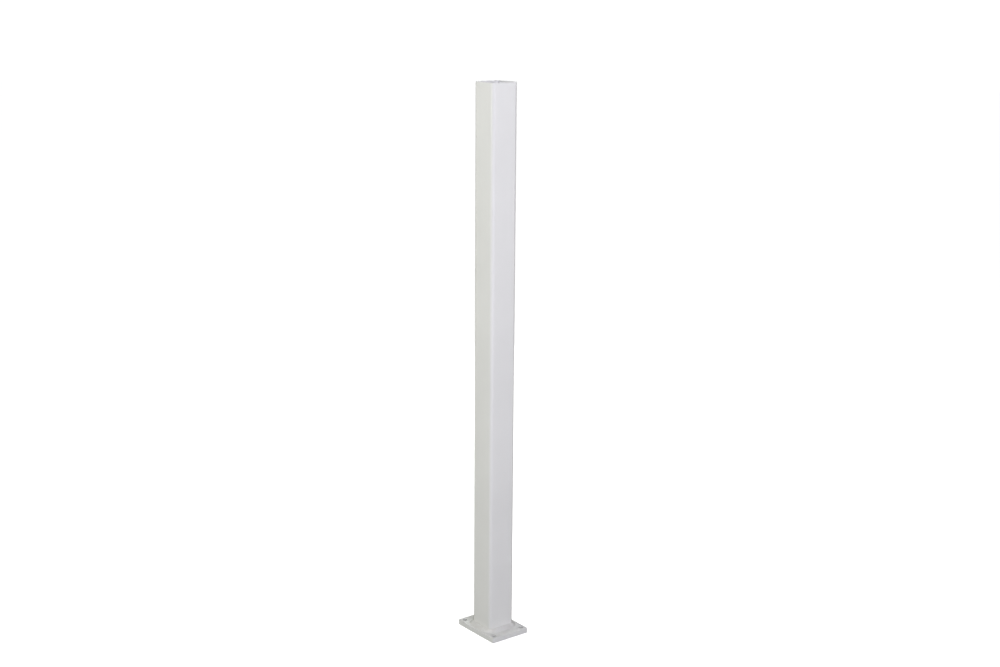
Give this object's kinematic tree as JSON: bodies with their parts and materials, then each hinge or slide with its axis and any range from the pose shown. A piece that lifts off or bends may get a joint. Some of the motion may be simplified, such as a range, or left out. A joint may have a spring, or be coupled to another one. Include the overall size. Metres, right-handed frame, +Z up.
{
  "type": "newel post",
  "caption": "Plain square hollow metal newel post, open at the top, fillet-welded to a rectangular base plate with corner bolt holes.",
  "frame": {"origin": "centre of the base plate's underside", "axes": "+Z up along the tube; the base plate's long side lies along Y and its short side along X"},
  "size_m": [0.0762, 0.1016, 0.9525],
  "materials": {
    "powder_coat": "satin",
    "coated_weld": "satin"
  },
  "bodies": {
    "root": {"post_tube": "powder_coat", "base_plate": "powder_coat", "foot_weld": "coated_weld"}
  },
  "joints": []
}
